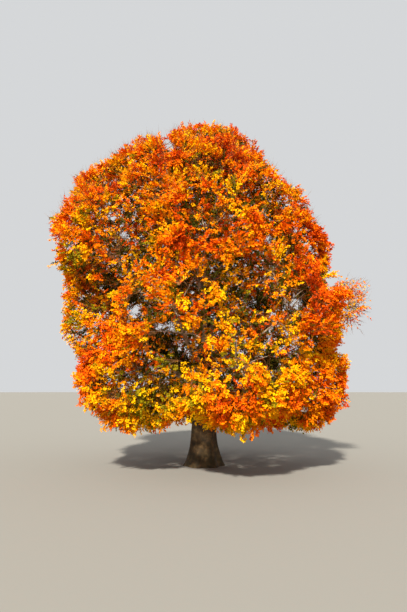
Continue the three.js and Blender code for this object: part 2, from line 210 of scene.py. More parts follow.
def bark_material(name, dark, middle, pale, algae):
    """Smooth beech bark of three shades, with green algae towards the ground."""
    material, tree = new_material(name)
    place = add_node(tree, "ShaderNodeTexCoord").outputs["Object"]
    squeezed = add_node(
        tree, "ShaderNodeMapping", {"Vector": place, "Scale": (1, 1, CREASE_STRETCH)}
    )
    patterns = {}
    for part, vector, size, detail in (
        ("blotches", place, BLOTCH, 6),
        ("algae", place, PATCH, 4),
        ("creases", squeezed.outputs[0], CREASE * CREASE_STRETCH, 5),
        ("grain", place, GRAIN, 2),
    ):
        inputs = {"Vector": vector, "Scale": 1 / size, "Detail": detail}
        patterns[part] = add_node(tree, "ShaderNodeTexNoise", inputs).outputs["Fac"]
    shades = add_node(tree, "ShaderNodeValToRGB", {"Fac": patterns["blotches"]})
    ramp = shades.color_ramp
    ramp.elements[0].position, ramp.elements[1].position = BLOTCH_STEPS[0], BLOTCH_STEPS[2]
    ramp.elements[0].color = linear(dark)
    ramp.elements[1].color = linear(pale)
    ramp.elements.new(BLOTCH_STEPS[1]).color = linear(middle)
    height = add_node(tree, "ShaderNodeSeparateXYZ", {"Vector": place}).outputs["Z"]
    low, high = ALGAE_SHARES
    low_down = add_node(
        tree,
        "ShaderNodeMapRange",
        {"Value": height, "From Max": ALGAE_TOP, "To Min": low, "To Max": high},
    )
    green_share = add_node(
        tree,
        "ShaderNodeMath",
        {0: patterns["algae"], 1: low_down.outputs["Result"]},
        operation="MULTIPLY",
    )
    colour = add_node(
        tree,
        "ShaderNodeMix",
        {"Factor": green_share.outputs[0], "A": shades.outputs["Color"], "B": linear(algae)},
        data_type="RGBA",
    )
    creased = add_node(
        tree, "ShaderNodeBump", {"Height": patterns["creases"], "Distance": CREASE_DEPTH}
    )
    rough = add_node(
        tree,
        "ShaderNodeBump",
        {"Height": patterns["grain"], "Distance": GRAIN_DEPTH, "Normal": creased.outputs[0]},
    )
    shader = add_node(
        tree,
        "ShaderNodeBsdfPrincipled",
        {
            "Base Color": colour.outputs["Result"],
            "Roughness": BARK_ROUGHNESS,
            "Specular IOR Level": BARK_GLOSS,
            "Normal": rough.outputs[0],
        },
    )
    add_node(tree, "ShaderNodeOutputMaterial", {"Surface": shader.outputs[0]})
    return material


# The trunk's dark colours are painted shade, for the shade of the crown over it.
trunk_bark = bark_material("beech bark, old", "#281b0e", "#442f19", "#6e5332", "#40381a")
bough_bark = bark_material("beech bark, smooth", "#7d6a55", "#ab977c", "#d0bfa3", "#8f8763")

# %% [markdown]
# Twigs are too thin for a pattern to show, so they have one plain brown. The leaves have
# plain colours too, one for each tint of a beech that turns. Leaves that are about to fall
# are dry and matt, so they have hardly any gloss. Tints are dealt out spray by spray further
# down. The record has no slot for two of them, which take that of the nearest tint.

# %% Twigs and leaves
TWIG_BROWN = "#84592f"
TINTS = {
    # Green is dark: the colour of leaves that are still green, and painted shade as well.
    "green": "#4d4a10",
    "olive": "#8a7a0c",
    "gold": "#f4b804",
    "amber": "#f6a203",
    "orange": "#f38703",
    "flame": "#f07004",
    "copper": "#e25a04",
    "russet": "#c24306",
}
RECORD_SLOTS = {tint: "leaf_" + tint for tint in TINTS}
RECORD_SLOTS["flame"] = "leaf_orange"
RECORD_SLOTS["green"] = "leaf_olive"

twig_material = plain_material("beech twig", TWIG_BROWN, roughness=0.7, gloss=0.3)
leaf_materials = {
    tint: plain_material("beech leaf, " + tint, colour, roughness=0.75, gloss=0.05)
    for tint, colour in TINTS.items()
}

# %% [markdown]
# The sizes below are those of the construction model, written again in metres. The crown is
# five rings of masses round the trunk, a mass on its top and a thin, half-bare arm at right.

# %% Sizes of the tree
TRUNK = {
    "top": 16.2,
    "tip_radius": 0.055,
    "body_radius": 0.76,
    "taper": 1.75,
    "flare_radius": 0.28,
    "flare_height": 0.62,
    "buttresses": 6,
    "buttress_depth": 0.3,
    "lean": 0.42,
    "sway": 0.17,
}
RING_SIZES = {
    # name: masses, height, its rise to the left, left, right, half width and height, turn
    "skirt": (6, 4.68, 0.3, 7.0, 8.0, 3.2, 2.6, 44),
    "lower": (6, 7.9, 0, 8.15, 8.5, 3.25, 3.0, 16),
    "middle": (6, 11.3, 0.1, 9.0, 7.25, 3.15, 3.05, 32),
    "upper": (5, 14.0, 0.8, 7.9, 6.1, 3.25, 2.8, 36),
    "shoulder": (3, 15.2, 0.4, 6.15, 4.9, 2.95, 2.15, 80),
}
FORKS = {
    # ring: lowest bough's height on the trunk, how far up the others go, radius
    "lower": (2.6, 1.5, 0.235),
    "middle": (4.7, 2.1, 0.185),
    "upper": (7.9, 1.8, 0.13),
    "shoulder": (12.3, 0.9, 0.075),
}
# The next two are centre, half width, half height and seed.
TOP_MASS = ((0.2, 0, 17.1), 3.45, 2.3, 600)
THIN_ARM = ((7.5, -1.5, 8.6), 1.55, 1.5, 700)
THIN_FORK = (5.6, 0.11)  # height on the trunk, and radius
TURN_STRAY, HEIGHT_STRAY, REACH_STRAY = 6, 0.26, 0.025  # degrees, metres, share of reach
WALL_CLEARANCE = 0.06
OUTWARD_LIFT = 0.35
BOUGH_RISE, SIDE_RISE = 52, 8  # degrees
BOUGH_TIP_RADIUS, SIDE_TIP_RADIUS, SIDE_RADIUS = 0.058, 0.046, 0.125
BOUGH_TIP_SHARE = 0.86  # how deep in its mass a bough ends, 1 being the surface
SIDE_AT = (0.28, 0.4)  # where side boughs leave their parents, by turns
LOWEST_LEAF = 1.75
UP = np.array([0.0, 0.0, 1.0])

# %% [markdown]
# The masses come first. The same seeded numbers as in the construction model place them, so
# that the leaves grow where its solids are. Between two masses stands a flat wall, nearer the
# smaller one, and a mass grows nothing beyond its walls.

# %% Masses of foliage


def seeded(seed):
    """A function that gives the next of a row of even random numbers from 0 to 1."""
    state = seed

    def draw():
        nonlocal state
        state = (state + 0x6D2B79F5) & 0xFFFFFFFF
        mixed = ((state ^ (state >> 15)) * (state | 1)) & 0xFFFFFFFF
        mixed ^= (mixed + ((mixed ^ (mixed >> 7)) * (mixed | 61))) & 0xFFFFFFFF
        return (mixed ^ (mixed >> 14)) / 4294967296

    return draw


def stray(draw, most):
    """A random number from -most to most."""
    return (2 * draw() - 1) * most


def unit(vectors):
    return vectors / np.linalg.norm(vectors, axis=-1, keepdims=True)


def level(angle):
    """The level direction at an angle from +X."""
    return np.array([math.cos(angle), math.sin(angle), 0.0])


def depth_in(points, centre, halves):
    """1 on the surface of a round body with those half sizes, less inside it."""
    return np.linalg.norm((points - centre) / halves, axis=-1)


class Mass:
    def __init__(self, name, seed, centre, half_width, half_height):
        self.name = name
        self.seed = seed
        self.centre = np.array(centre, float)
        self.halves = np.array([half_width, half_width, half_height])
        self.size = (2 * half_width + half_height) / 3
        lift = OUTWARD_LIFT * half_width
        self.outward = unit(np.array([self.centre[0], self.centre[1], lift]))

    def depth(self, points):
        return depth_in(points, self.centre, self.halves)

    def at(self, direction, share):
        """The place in a direction from the mass's middle, at a share of its depth."""
        return self.centre + direction * share / self.depth(self.centre + direction)

    def raise_walls(self, masses):
        others = [mass for mass in masses if mass is not self]
        towards = np.array([mass.centre - self.centre for mass in others])
        apart = np.linalg.norm(towards, axis=1)
        sizes = np.array([mass.size for mass in others])
        self.wall_facing = towards / apart[:, None]
        self.wall_away = (apart**2 + self.size**2 - sizes**2) / (2 * apart)

    def within_walls(self, points, clearance=WALL_CLEARANCE):
        out = (points - self.centre) @ self.wall_facing.T
        return (out < self.wall_away - clearance).all(axis=-1)


def ring_masses(ring_number, name):
    """The masses of a ring, at nearly even angles and with their outer sides in line."""
    count, height, rise, left, right, half_width, half_height, turn = RING_SIZES[name]
    masses = []
    for k in range(count):
        seed = 100 * (ring_number + 1) + k
        draw = seeded(seed)
        angle = math.radians(turn + 360 * k / count + stray(draw, TURN_STRAY))
        leftness = (1 - math.cos(angle)) / 2
        reach = (right + (left - right) * leftness) * (1 + stray(draw, REACH_STRAY))
        centre = level(angle) * (reach - half_width)
        centre[2] = height + rise * (2 * leftness - 1) + stray(draw, HEIGHT_STRAY)
        masses.append(Mass(f"{name}_{k + 1}", seed, centre, half_width, half_height))
    return masses


rings = {name: ring_masses(number, name) for number, name in enumerate(RING_SIZES)}
top_mass = Mass("top", TOP_MASS[3], *TOP_MASS[:3])
thin_arm = Mass("thin", THIN_ARM[3], *THIN_ARM[:3])
masses = [mass for ring in rings.values() for mass in ring] + [top_mass, thin_arm]
for mass in masses:
    mass.raise_walls(masses)
assert sorted("foliage_" + mass.name for mass in masses) == FOLIAGE_NODES
print("The masses' middles are from", min(mass.centre[2] for mass in masses), "m up")

# %% [markdown]
# A limb is a curve with a radius that falls along it. Boughs are limbs, and so is what grows
# from them inside the masses. A bough rises steeply where it leaves the trunk and levels out
# towards its mass.

# %% Limbs
NEARBY = 0.01  # the share of a limb on which its direction is measured
MEASURED_STEPS = 16  # straight ones that a limb's length is the sum of
SHRINK, SHORTEST = 0.93, 0.1  # how a reach is drawn in, and down to what share of it
BOUGH_START, BOUGH_END = 0.36, 0.34  # shares of a bough that keep the way its ends point
TIP_ALONG, TIP_LEVEL = 0.55, 0.45  # how far its tip points along the bough, and level
COLLAR, COLLAR_LENGTH = 0.4, 0.07
BOUGH_TAPER = 1.15


def bezier(controls, shares):
    """Points of the curve that two, three or four control points pull into shape."""
    shares = np.asarray(shares, float)[:, None]
    points = [np.array(control, float)[None] for control in controls]
    while len(points) > 1:
        points = [a + (b - a) * shares for a, b in zip(points, points[1:])]
    return np.broadcast_to(points[0], (len(shares), 3))


class Limb:
    def __init__(self, controls, radius_at):
        self.controls = controls
        self.radius_at = radius_at

    def points(self, shares):
        return bezier(self.controls, shares)

    def tangents(self, shares):
        shares = np.asarray(shares, float)
        ahead = self.points(np.minimum(shares + NEARBY, 1))
        return unit(ahead - self.points(np.maximum(shares - NEARBY, 0)))

    def length(self):
        steps = self.points(np.linspace(0, 1, MEASURED_STEPS + 1))
        return np.linalg.norm(np.diff(steps, axis=0), axis=1).sum()

    def shares_every(self, spacing):
        return np.linspace(0, 1, math.ceil(self.length() / spacing) + 1)


def drawn_in(reach, fits):
    """Makes a reach shorter, a little at a time, until it fits."""
    tried = reach
    while tried > SHORTEST * reach and not fits(tried):
        tried *= SHRINK
    return tried


def trunk_radius(z):
    left = np.maximum(0, 1 - z / TRUNK["top"])
    return TRUNK["tip_radius"] + TRUNK["body_radius"] * left ** TRUNK["taper"]


def trunk_axis(z):
    """The middle of the trunk at a height: it leans to +X and bows to -Y."""
    up = np.asarray(z, float) / TRUNK["top"]
    bow = (1 - np.cos(2 * np.pi * up)) / 2
    return np.stack([TRUNK["lean"] * up**2, -TRUNK["sway"] * bow, up * TRUNK["top"]], -1)


def bough_to(mass, foot, rise, base_radius, tip_radius):
    """A bough that leaves its foot at an angle and ends on the near side of its mass."""
    back = unit(foot - mass.centre)
    share = drawn_in(BOUGH_TIP_SHARE, lambda s: mass.within_walls(mass.at(back, s)))
    tip = mass.at(back, share)
    run = tip - foot
    length = np.linalg.norm(run)
    out = unit(run * [1, 1, 0])
    start = out * math.cos(math.radians(rise)) + UP * math.sin(math.radians(rise))
    end = unit(unit(run) * TIP_ALONG + out * TIP_LEVEL)
    first_knee = foot + start * BOUGH_START * length
    last_knee = tip - end * BOUGH_END * length

    def radius_at(share):
        collar = 1 + COLLAR * np.exp(-share / COLLAR_LENGTH)
        left = (1 - share) ** BOUGH_TAPER
        return tip_radius + (base_radius * collar - tip_radius) * left

    bough = Limb([foot, first_knee, last_knee, tip], radius_at)
    bough.mass = mass
    return bough


def ring_boughs(name):
    """The boughs of a ring, which leave the trunk by turns, so that neighbours are apart."""
    fork, run, radius = FORKS[name]
    count = len(rings[name])
    boughs = []
    for k, mass in enumerate(rings[name]):
        lap = 2 * k // count if count % 2 == 0 else 0
        foot = trunk_axis(fork + run * ((2 * k) % count + lap) / (count - 1))
        boughs.append(bough_to(mass, foot, BOUGH_RISE, radius, BOUGH_TIP_RADIUS))
    return boughs


def side_bough(mass, number, parents):
    """Leaves whichever bough passes nearest its mass."""
    share = SIDE_AT[number % 2]
    feet = [parent.points([share])[0] for parent in parents]
    foot = min(feet, key=lambda point: np.linalg.norm(point - mass.centre))
    return bough_to(mass, foot, SIDE_RISE, SIDE_RADIUS, SIDE_TIP_RADIUS)


lower_boughs = ring_boughs("lower")
trunk_boughs = [
    *lower_boughs,
    *ring_boughs("middle"),
    *ring_boughs("upper"),
    *ring_boughs("shoulder"),
    bough_to(thin_arm, trunk_axis(THIN_FORK[0]), BOUGH_RISE, THIN_FORK[1], BOUGH_TIP_RADIUS),
]
side_boughs = [side_bough(mass, k, lower_boughs) for k, mass in enumerate(rings["skirt"])]
boughs = trunk_boughs + side_boughs
longest = max(bough.length() for bough in boughs)
print(len(boughs), "boughs, the longest", round(longest, 1), "m")

# %% [markdown]
# The skin of a limb starts as a round bar with its long edges cut into steps. Each corner is
# then moved to its place: its share of the length and its angle round the limb say where.

# %% Skin of a limb


def add_skin(shape, sides, steps, place):
    """Adds a bar and moves its corners to where place(shares, angles) puts them."""
    before = len(shape.verts)
    made = bmesh.ops.create_cone(
        shape, cap_ends=True, segments=sides, radius1=1, radius2=1, depth=1
    )
    edges = {edge for vert in made["verts"] for edge in vert.link_edges}
    long_edges = [e for e in edges if abs(e.verts[0].co.z - e.verts[1].co.z) > 0.5]
    bmesh.ops.subdivide_edges(shape, edges=long_edges, cuts=steps - 1, use_grid_fill=True)
    shape.verts.ensure_lookup_table()
    corners = shape.verts[before:]
    shares = np.array([vert.co.z + 0.5 for vert in corners])
    angles = np.array([math.atan2(vert.co.y, vert.co.x) for vert in corners])
    for vert, point in zip(corners, place(shares, angles)):
        vert.co = point


def tree_piece(name, mesh, material, *nodes):
    """A piece that moves with the tree and replaces nodes of the construction model."""
    mesh.materials.append(material)
    piece = placed(name, mesh)
    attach(piece, "root")
    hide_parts(*nodes)
    print(name, sum(len(face.vertices) - 2 for face in mesh.polygons), "triangles")
    return piece


def bark_piece(name, shape, material, *nodes):
    """Turns a bmesh into a smooth piece of bark."""
    bmesh.ops.recalc_face_normals(shape, faces=shape.faces)
    for face in shape.faces:
        face.smooth = True
    mesh = bpy.data.meshes.new(name)
    shape.to_mesh(mesh)
    shape.free()
    tree_piece(name, mesh, material, *nodes)


def noise_at(points, size):
    """Smooth noise from -1 to 1 that changes over about a given size."""
    return np.array([noise.noise(Vector(point / size)) for point in points])


# %% [markdown]
# The trunk swells into six low buttresses at the ground. Above them it is fluted where the
# great boughs run down into it, and it has dents, and wrinkles that run across like folds in
# skin. These are real relief: the mesh's corners move in and out by up to a few centimetres.

# %% Trunk
TRUNK_SIDES, TRUNK_STEPS = 84, 160
CLOSER_LOW_DOWN = 1.9  # a power, which makes the lowest steps the shortest
FLUTES, FLUTE_DEPTH, FLUTE_TOP = 7, 0.035, 6.0
FLUTE_SWING, FLUTE_PACE = 0.7, 0.9  # how far the flutes wander sideways, and how fast
DENT_SIZE, DENT_DEPTH, DENT_FLATNESS = 0.42, 0.028, 0.5
WRINKLE_SIZE, WRINKLE_DEPTH, WRINKLE_FLATNESS = 0.3, 0.007, 6
FULL_RELIEF = 0.5  # the trunk's radius from which its relief has its full depth
FLAT_FOOT = 0.1  # metres in which dents fade towards the ground


def flare(z, angle):
    lobes = 1 + TRUNK["buttress_depth"] * np.cos(TRUNK["buttresses"] * angle)
    return TRUNK["flare_radius"] * np.exp(-z / TRUNK["flare_height"]) * lobes


def place_on_trunk(shares, angles):
    z = TRUNK["top"] * shares**CLOSER_LOW_DOWN
    radius = trunk_radius(z) + flare(z, angles)
    out = np.stack([np.cos(angles), np.sin(angles), np.zeros_like(angles)], -1)
    surface = trunk_axis(z) + out * radius[:, None]
    strength = np.clip(radius / FULL_RELIEF, 0, 1)
    fading = np.clip(1 - z / FLUTE_TOP, 0, 1) * strength
    wander = FLUTE_SWING * np.sin(FLUTE_PACE * z)
    flutes = FLUTE_DEPTH * fading * np.cos(FLUTES * angles + wander)
    dents = noise_at(surface * [1, 1, DENT_FLATNESS], DENT_SIZE)
    wrinkles = noise_at(surface * [1, 1, WRINKLE_FLATNESS], WRINKLE_SIZE)
    rough = DENT_DEPTH * strength * dents + WRINKLE_DEPTH * strength * wrinkles
    relief = flutes + rough * np.clip(z / FLAT_FOOT, 0, 1)
    return trunk_axis(z) + out * (radius - FLUTE_DEPTH * fading + relief)[:, None]


trunk_shape = bmesh.new()
add_skin(trunk_shape, TRUNK_SIDES, TRUNK_STEPS, place_on_trunk)
bark_piece("trunk_bark", trunk_shape, trunk_bark, "trunk")

# %% [markdown]
# A bough starts inside its parent, where its collar swells out, and bends a little from side
# to side on its way. Its bark has dents and wrinkles too, in step with its thickness.

# %% Boughs
BOUGH_SIDES, FEWEST_STEPS = 16, 8
BOUGH_STEP = 0.16  # metres from ring to ring
BEND_SIZE, BEND = 1.9, 0.13
BEND_SHIFTS = (0, 40, 80)  # metres, so that the three directions bend apart
BOUGH_DENT_SIZE, BOUGH_DENT = 0.35, 0.09
BOUGH_WRINKLE_SIZE, BOUGH_WRINKLE, BOUGH_WRINKLE_FLATNESS = 0.12, 0.035, 3
OUT_OF_TRUNK = 0.55  # of the trunk's radius, where a bough's skin starts


def bent(points, shares, amount):
    """Bends a limb from side to side between its ends, which stay."""
    slack = (np.sin(np.pi * shares) * amount)[:, None]
    sideways = [noise_at(points + [0, 0, shift], BEND_SIZE) for shift in BEND_SHIFTS]
    return points + np.stack(sideways, -1) * slack


def place_on_limb(limb, first):
    """A function that places a skin's corners on a limb, from a share of it onwards."""
    side = unit(np.cross(UP, limb.controls[-1] - limb.controls[0]))

    def place(shares, angles):
        shares = first + (1 - first) * shares
        centre = bent(limb.points(shares), shares, BEND)
        along = limb.tangents(shares)
        across = unit(side - along * (along @ side)[:, None])
        third = np.cross(across, along)
        radius = limb.radius_at(shares)
        out = across * np.cos(angles)[:, None] + third * np.sin(angles)[:, None]
        surface = centre + out * radius[:, None]
        dents = noise_at(surface, BOUGH_DENT_SIZE)
        wrinkles = noise_at(surface * [1, 1, BOUGH_WRINKLE_FLATNESS], BOUGH_WRINKLE_SIZE)
        rough = BOUGH_DENT * dents + BOUGH_WRINKLE * wrinkles
        return centre + out * (radius * (1 + rough))[:, None]

    return place


def leaving_share(bough):
    """Where a bough's middle is about half way from the trunk's middle to its bark."""
    shares = np.linspace(0, 0.5, 101)
    points = bough.points(shares)
    away = np.linalg.norm(points - trunk_axis(points[:, 2]), axis=1)
    return shares[np.argmax(away > OUT_OF_TRUNK * trunk_radius(points[:, 2]))]


bough_shape = bmesh.new()
for bough in boughs:
    first = leaving_share(bough) if bough in trunk_boughs else 0.0
    steps = max(FEWEST_STEPS, round(bough.length() / BOUGH_STEP))
    add_skin(bough_shape, BOUGH_SIDES, steps, place_on_limb(bough, first))
bark_piece("boughs_bark", bough_shape, bough_bark, *BOUGH_NODES)

# %% [markdown]
# Inside a mass the bough goes on as a stem, and limbs leave it for points that are spread
# evenly round the mass, as in the construction model. A limb that would leave its mass's
# space, or touch a bough, isn't grown. What grows from here on is many thousands of small
# things, so they are made as joined meshes from arrays.

# %% Stems and limbs of the masses
KNOT_SPACING = 0.12
BLOCK = 2000  # points that are measured at a time
STEM_KNEE, STEM_DEPTH, STEM_TIP_RADIUS = 0.5, 0.42, 0.026
LIMBS_TRIED, LIMB_DEPTH, LIMB_STRAY = 12, 0.62, 0.1
LIMB_SEED = 5000  # added to the mass's own
FORK_PLACES = np.linspace(0.2, 1, 9)  # shares of the stem
FORK_BEFORE, LOWEST_FORK = 0.2, 0.15  # a limb forks off so far before its nearest place
TESTED_PLACES = np.linspace(0.25, 1, 12)  # shares of a limb
LIMB_LIFT = 0.08  # of its length, how far a limb arches upwards
LIMB_RADIUS, LIMB_THINNING = 0.036, 0.02
LIMB_CLEARANCE = 0.05


def bough_knots():
    """Points along trunk and boughs, with the radius there."""
    heights = np.arange(0, TRUNK["top"], KNOT_SPACING)
    places, radii = [trunk_axis(heights)], [trunk_radius(heights)]
    for bough in boughs:
        shares = bough.shares_every(KNOT_SPACING)
        places.append(bent(bough.points(shares), shares, BEND))
        radii.append(bough.radius_at(shares))
    return np.concatenate(places), np.concatenate(radii)


knot_places, knot_radii = bough_knots()


def clear_of_boughs(points, reach):
    """For each point, whether it is that far from trunk and boughs."""
    clear = np.ones(len(points), bool)
    for start in range(0, len(points), BLOCK):
        block = points[start : start + BLOCK]
        away = np.linalg.norm(block[:, None] - knot_places[None], axis=-1) - knot_radii
        clear[start : start + BLOCK] = (away > reach).all(axis=1)
    return clear


def even_direction(number, count, turn):
    """One of a number of directions that are spread evenly round a ball."""
    z = 1 - (2 * number + 1) / count
    angle = number * math.pi * (3 - math.sqrt(5)) + turn
    return level(angle) * math.sqrt(1 - z * z) + UP * z


def stem_of(mass):
    """Goes on from the tip of the mass's bough, or of the trunk."""
    bough = next((bough for bough in boughs if bough.mass is mass), None)
    if bough is None:
        foot, along, radius = trunk_axis(TRUNK["top"]), UP, TRUNK["tip_radius"]
    else:
        foot, along = bough.points([1])[0], bough.tangents([1])[0]
        radius = bough.radius_at(1.0)
    straight = drawn_in(
        STEM_KNEE, lambda s: mass.within_walls(foot + along * s * mass.size)
    )
    knee = foot + along * straight * mass.size
    end = mass.at(mass.outward, STEM_DEPTH)
    return Limb([foot, knee, end], lambda s: radius + (STEM_TIP_RADIUS - radius) * s)


def limbs_of(mass, stem):
    """Limbs from a mass's stem to the outer half of the mass."""
    draw = seeded(mass.seed + LIMB_SEED)
    turn = draw() * 2 * math.pi
    feet = stem.points(FORK_PLACES)
    limbs = []
    for n in range(LIMBS_TRIED):
        aim = even_direction(n, LIMBS_TRIED, turn)
        target = mass.at(aim, LIMB_DEPTH * (1 + stray(draw, LIMB_STRAY)))
        nearest = FORK_PLACES[np.argmin(np.linalg.norm(feet - target, axis=1))]
        foot = stem.points([max(LOWEST_FORK, nearest - FORK_BEFORE)])[0]
        lift = UP * LIMB_LIFT * np.linalg.norm(target - foot)
        knee = (foot + target) / 2 + lift
        limb = Limb([foot, knee, target], lambda s: LIMB_RADIUS - LIMB_THINNING * s)
        path = limb.points(TESTED_PLACES)
        fits = mass.within_walls(path).all() and path[:, 2].min() > LOWEST_LEAF
        fits = fits and clear_of_boughs(path, LIMB_CLEARANCE).all()
        if fits and aim @ mass.outward > 0:
            limbs.append(limb)
    return limbs


stems = {mass.name: stem_of(mass) for mass in masses}
mass_limbs = {mass.name: limbs_of(mass, stems[mass.name]) for mass in masses}
print("Limbs in the masses:", sum(len(limbs) for limbs in mass_limbs.values()))

# %% [markdown]
# The crown's outline is that of all masses together, with the creases between them filled:
# each mass counts by how near its surface is, so that two of them blend as drops do. A dome
# fills the wider creases round the top, at the sides and behind. Noise as wide as a tuft
# roughens the outline.

# %% Outline of the crown
BLEND = 18.0  # the higher, the tighter the creases
DOME = ((-0.25, 0.7, 12.55), (5.2, 7.1, 6.25))  # centre and half sizes
LUMP, LUMP_DEPTH = 2.3, 0.13
TUFT, TUFT_DEPTH = 1.0, 0.19
FRINGE, FRINGE_DEPTH = 0.35, 0.07
HANGING = 0.1  # how much further the lowest foliage hangs
HANGING_BELOW, HANGING_OVER = 4.0, 2  # its height, and metres until it hangs in full


def crown_depth(points):
    """1 on the crown's outline, less inside it."""
    depths = [mass.depth(points) for mass in masses if mass is not thin_arm]
    depths = np.stack([depth_in(points, *DOME), *depths])
    return -np.log(np.exp(-BLEND * depths).sum(axis=0)) / BLEND


def roughness(points):
    """How far the outline stands in or out, as a share of its depth."""
    lumps = LUMP_DEPTH * noise_at(points, LUMP)
    tufts = TUFT_DEPTH * noise_at(points, TUFT)
    fringe = FRINGE_DEPTH * noise_at(points, FRINGE)
    hanging = HANGING * np.clip((HANGING_BELOW - points[:, 2]) / HANGING_OVER, 0, 1)
    return 1 + lumps + tufts + fringe + hanging


def inside_box(points, clearance=0.0):
    """Whether points are in the construction model's box, and above the lowest leaf."""
    low, high = (np.array(corner) for corner in cad_box)
    low[2] = LOWEST_LEAF
    return ((points > low + clearance) & (points < high - clearance)).all(axis=-1)


# %% [markdown]
# The photograph shows sky through the crown at a few places, and deep shade at others. A
# window is open all the way along the line of sight. A hollow is open only in the front half
# of the crown, with shaded leaves behind it. In the sparse patches some sprays are missing.

# %% Openings
WINDOWS = {
    # name: across and up on the plane through the trunk, and radius
    "left": (-3.95, 8.35, 0.34),
    "middle left": (-2.5, 7.45, 0.25),
    "middle left, second": (-1.85, 7.55, 0.24),
    "upper left": (-4.65, 13.0, 0.16),
    "upper left, second": (-5.35, 14.0, 0.16),
    "upper right": (3.85, 12.75, 0.2),
    "right edge": (7.35, 10.1, 0.25),
    "lower right": (5.3, 8.9, 0.26),
    "notch at the top": (-2.15, 18.65, 0.34),
}
HOLLOWS = {
    "left, over the window": (-3.8, 9.1, 0.4),
    "middle left": (-2.2, 6.75, 0.6),
    "below the middle": (-1.3, 5.85, 0.4),
    "above the middle": (-0.65, 9.95, 0.5),
    "far left": (-5.4, 10.1, 0.45),
    "middle right": (3.2, 8.95, 0.4),
    "right": (5.6, 9.4, 0.42),
    "low right": (3.6, 5.6, 0.35),
}
HOLLOW_BACK = -1.2  # how far back, along +Y, the hollows reach
SHADE_BACK = 1.4  # and the shaded leaves behind them
SPARSE = {
    # name: across, up and radius as above, and the share of sprays that are left there
    "middle": ((0.4, 7.6, 2.0), 0.9),
    "right": ((5.9, 8.2, 1.6), 0.8),
    "top right": ((2.2, 15.0, 1.5), 0.8),
}
RAGGED, RAGGED_SIZE = 1.3, 0.45  # how uneven the openings' rims are


def along_sight(points, places):
    """Whether a point is in one of the openings, seen from the camera."""
    inside = np.zeros(len(points), bool)
    ragged = 1 + RAGGED * noise_at(points, RAGGED_SIZE)
    from_eye = points - EYE
    for x, z, radius in places:
        sight = unit(np.array([x, 0, z]) - EYE)
        aside = np.linalg.norm(from_eye - (from_eye @ sight)[:, None] * sight, axis=1)
        inside |= aside < radius * ragged
    return inside


def in_openings(points):
    front = points[:, 1] < HOLLOW_BACK
    in_hollows = front & along_sight(points, HOLLOWS.values())
    return along_sight(points, WINDOWS.values()) | in_hollows


def behind_hollows(points):
    """Whether points are where a hollow's back is closed by shaded leaves."""
    within = (points[:, 1] > HOLLOW_BACK) & (points[:, 1] < SHADE_BACK)
    return within & along_sight(points, HOLLOWS.values())


def leafiness(points):
    """How full the foliage is: less than 1 in the sparse patches of the front."""
    fullness = np.ones(len(points))
    front = points[:, 1] < HOLLOW_BACK
    for place, share in SPARSE.values():
        fullness[front & along_sight(points, [place])] = share
    return fullness


# %% [markdown]
# Pale limbs show among the leaves in the middle of the photograph's crown. So the limbs of
# the front are looked at from the camera there, and a leaf that would hide one isn't grown.

# %% Limbs that show
SHOWN_PATCH = (0.4, 7.2, 2.7)  # across, up and radius, where limbs show
SHOWN_FRONT = -3.6  # only limbs in front of this, along +Y
SHOWN_STEP = 0.08
SHOWN_GAP = 0.075  # metres that are free of leaves on both sides of a limb
LIMB_BEND = 0.1


def seen_from_eye(points):
    """Where points appear, across and up on a plane 1 m off, and how far away they are."""
    from_eye = points - EYE
    ahead = from_eye @ [0, math.cos(LOOKING_UP), math.sin(LOOKING_UP)]
    up = from_eye @ [0, -math.sin(LOOKING_UP), math.cos(LOOKING_UP)]
    return np.stack([from_eye[:, 0] / ahead, up / ahead, 0 * ahead], -1), ahead


def shown_knots():
    """Places along the limbs of the front that lie where the photograph shows limbs."""
    limbs = [limb for mass in masses for limb in [stems[mass.name], *mass_limbs[mass.name]]]
    places = []
    for limb in limbs + boughs:
        shares = limb.shares_every(SHOWN_STEP)
        bend = BEND if limb in boughs else LIMB_BEND
        places.append(bent(limb.points(shares), shares, bend))
    places = np.concatenate(places)
    places = places[places[:, 1] < SHOWN_FRONT]
    return places[along_sight(places, [SHOWN_PATCH])]


def search_tree(points):
    """A tree that finds the nearest of its points quickly."""
    tree = kdtree.KDTree(len(points))
    for index, point in enumerate(points):
        tree.insert(point, index)
    tree.balance()
    return tree


shown_places, shown_distances = seen_from_eye(shown_knots())
shown_tree = search_tree(shown_places)


def before_limbs(points):
    """Whether points would hide one of the limbs that show."""
    hiding = np.zeros(len(points), bool)
    places, distances = seen_from_eye(points)
    for index in np.flatnonzero(along_sight(points, [SHOWN_PATCH])):
        _, nearest, apart = shown_tree.find(places[index])
        distance = distances[index]
        hiding[index] = apart * distance < SHOWN_GAP and distance < shown_distances[nearest]
    return hiding


# %% [markdown]
# Branchlets carry the limbs out towards the outline. Each reaches for one of many points
# spread evenly through its mass, from the nearest limb, and leaves it at a slant. The points
# follow a rule that fills a box evenly without a grid: each step is a fixed share of each
# side, taken from the root of x to the fourth = x + 1.

# %% Branchlets
EVEN_ROOT = 1.2207440846057596
BOX_SPREAD = 1.15  # of the mass's radius, the box that its points are spread in
FARTHEST_DEPTH = 1.45  # of its mass, for a point in the creases between masses
CREASE_CLEARANCE = 0.03
ABOVE_LOWEST = 0.15
CARRYING_PLACES = np.linspace(0.2, 1, 24)  # shares of a limb that branchlets leave
BRANCHLET_SPACING = 0.92
BRANCHLET_DEPTH = 0.86  # of the crown
BRANCHLET_CLEARANCE, SHORTEST_BRANCHLET = 0.1, 0.15
BRANCHLET_STEPS, BRANCHLET_SIDES = 4, 3
BRANCHLET_RADII = (0.014, 0.005)


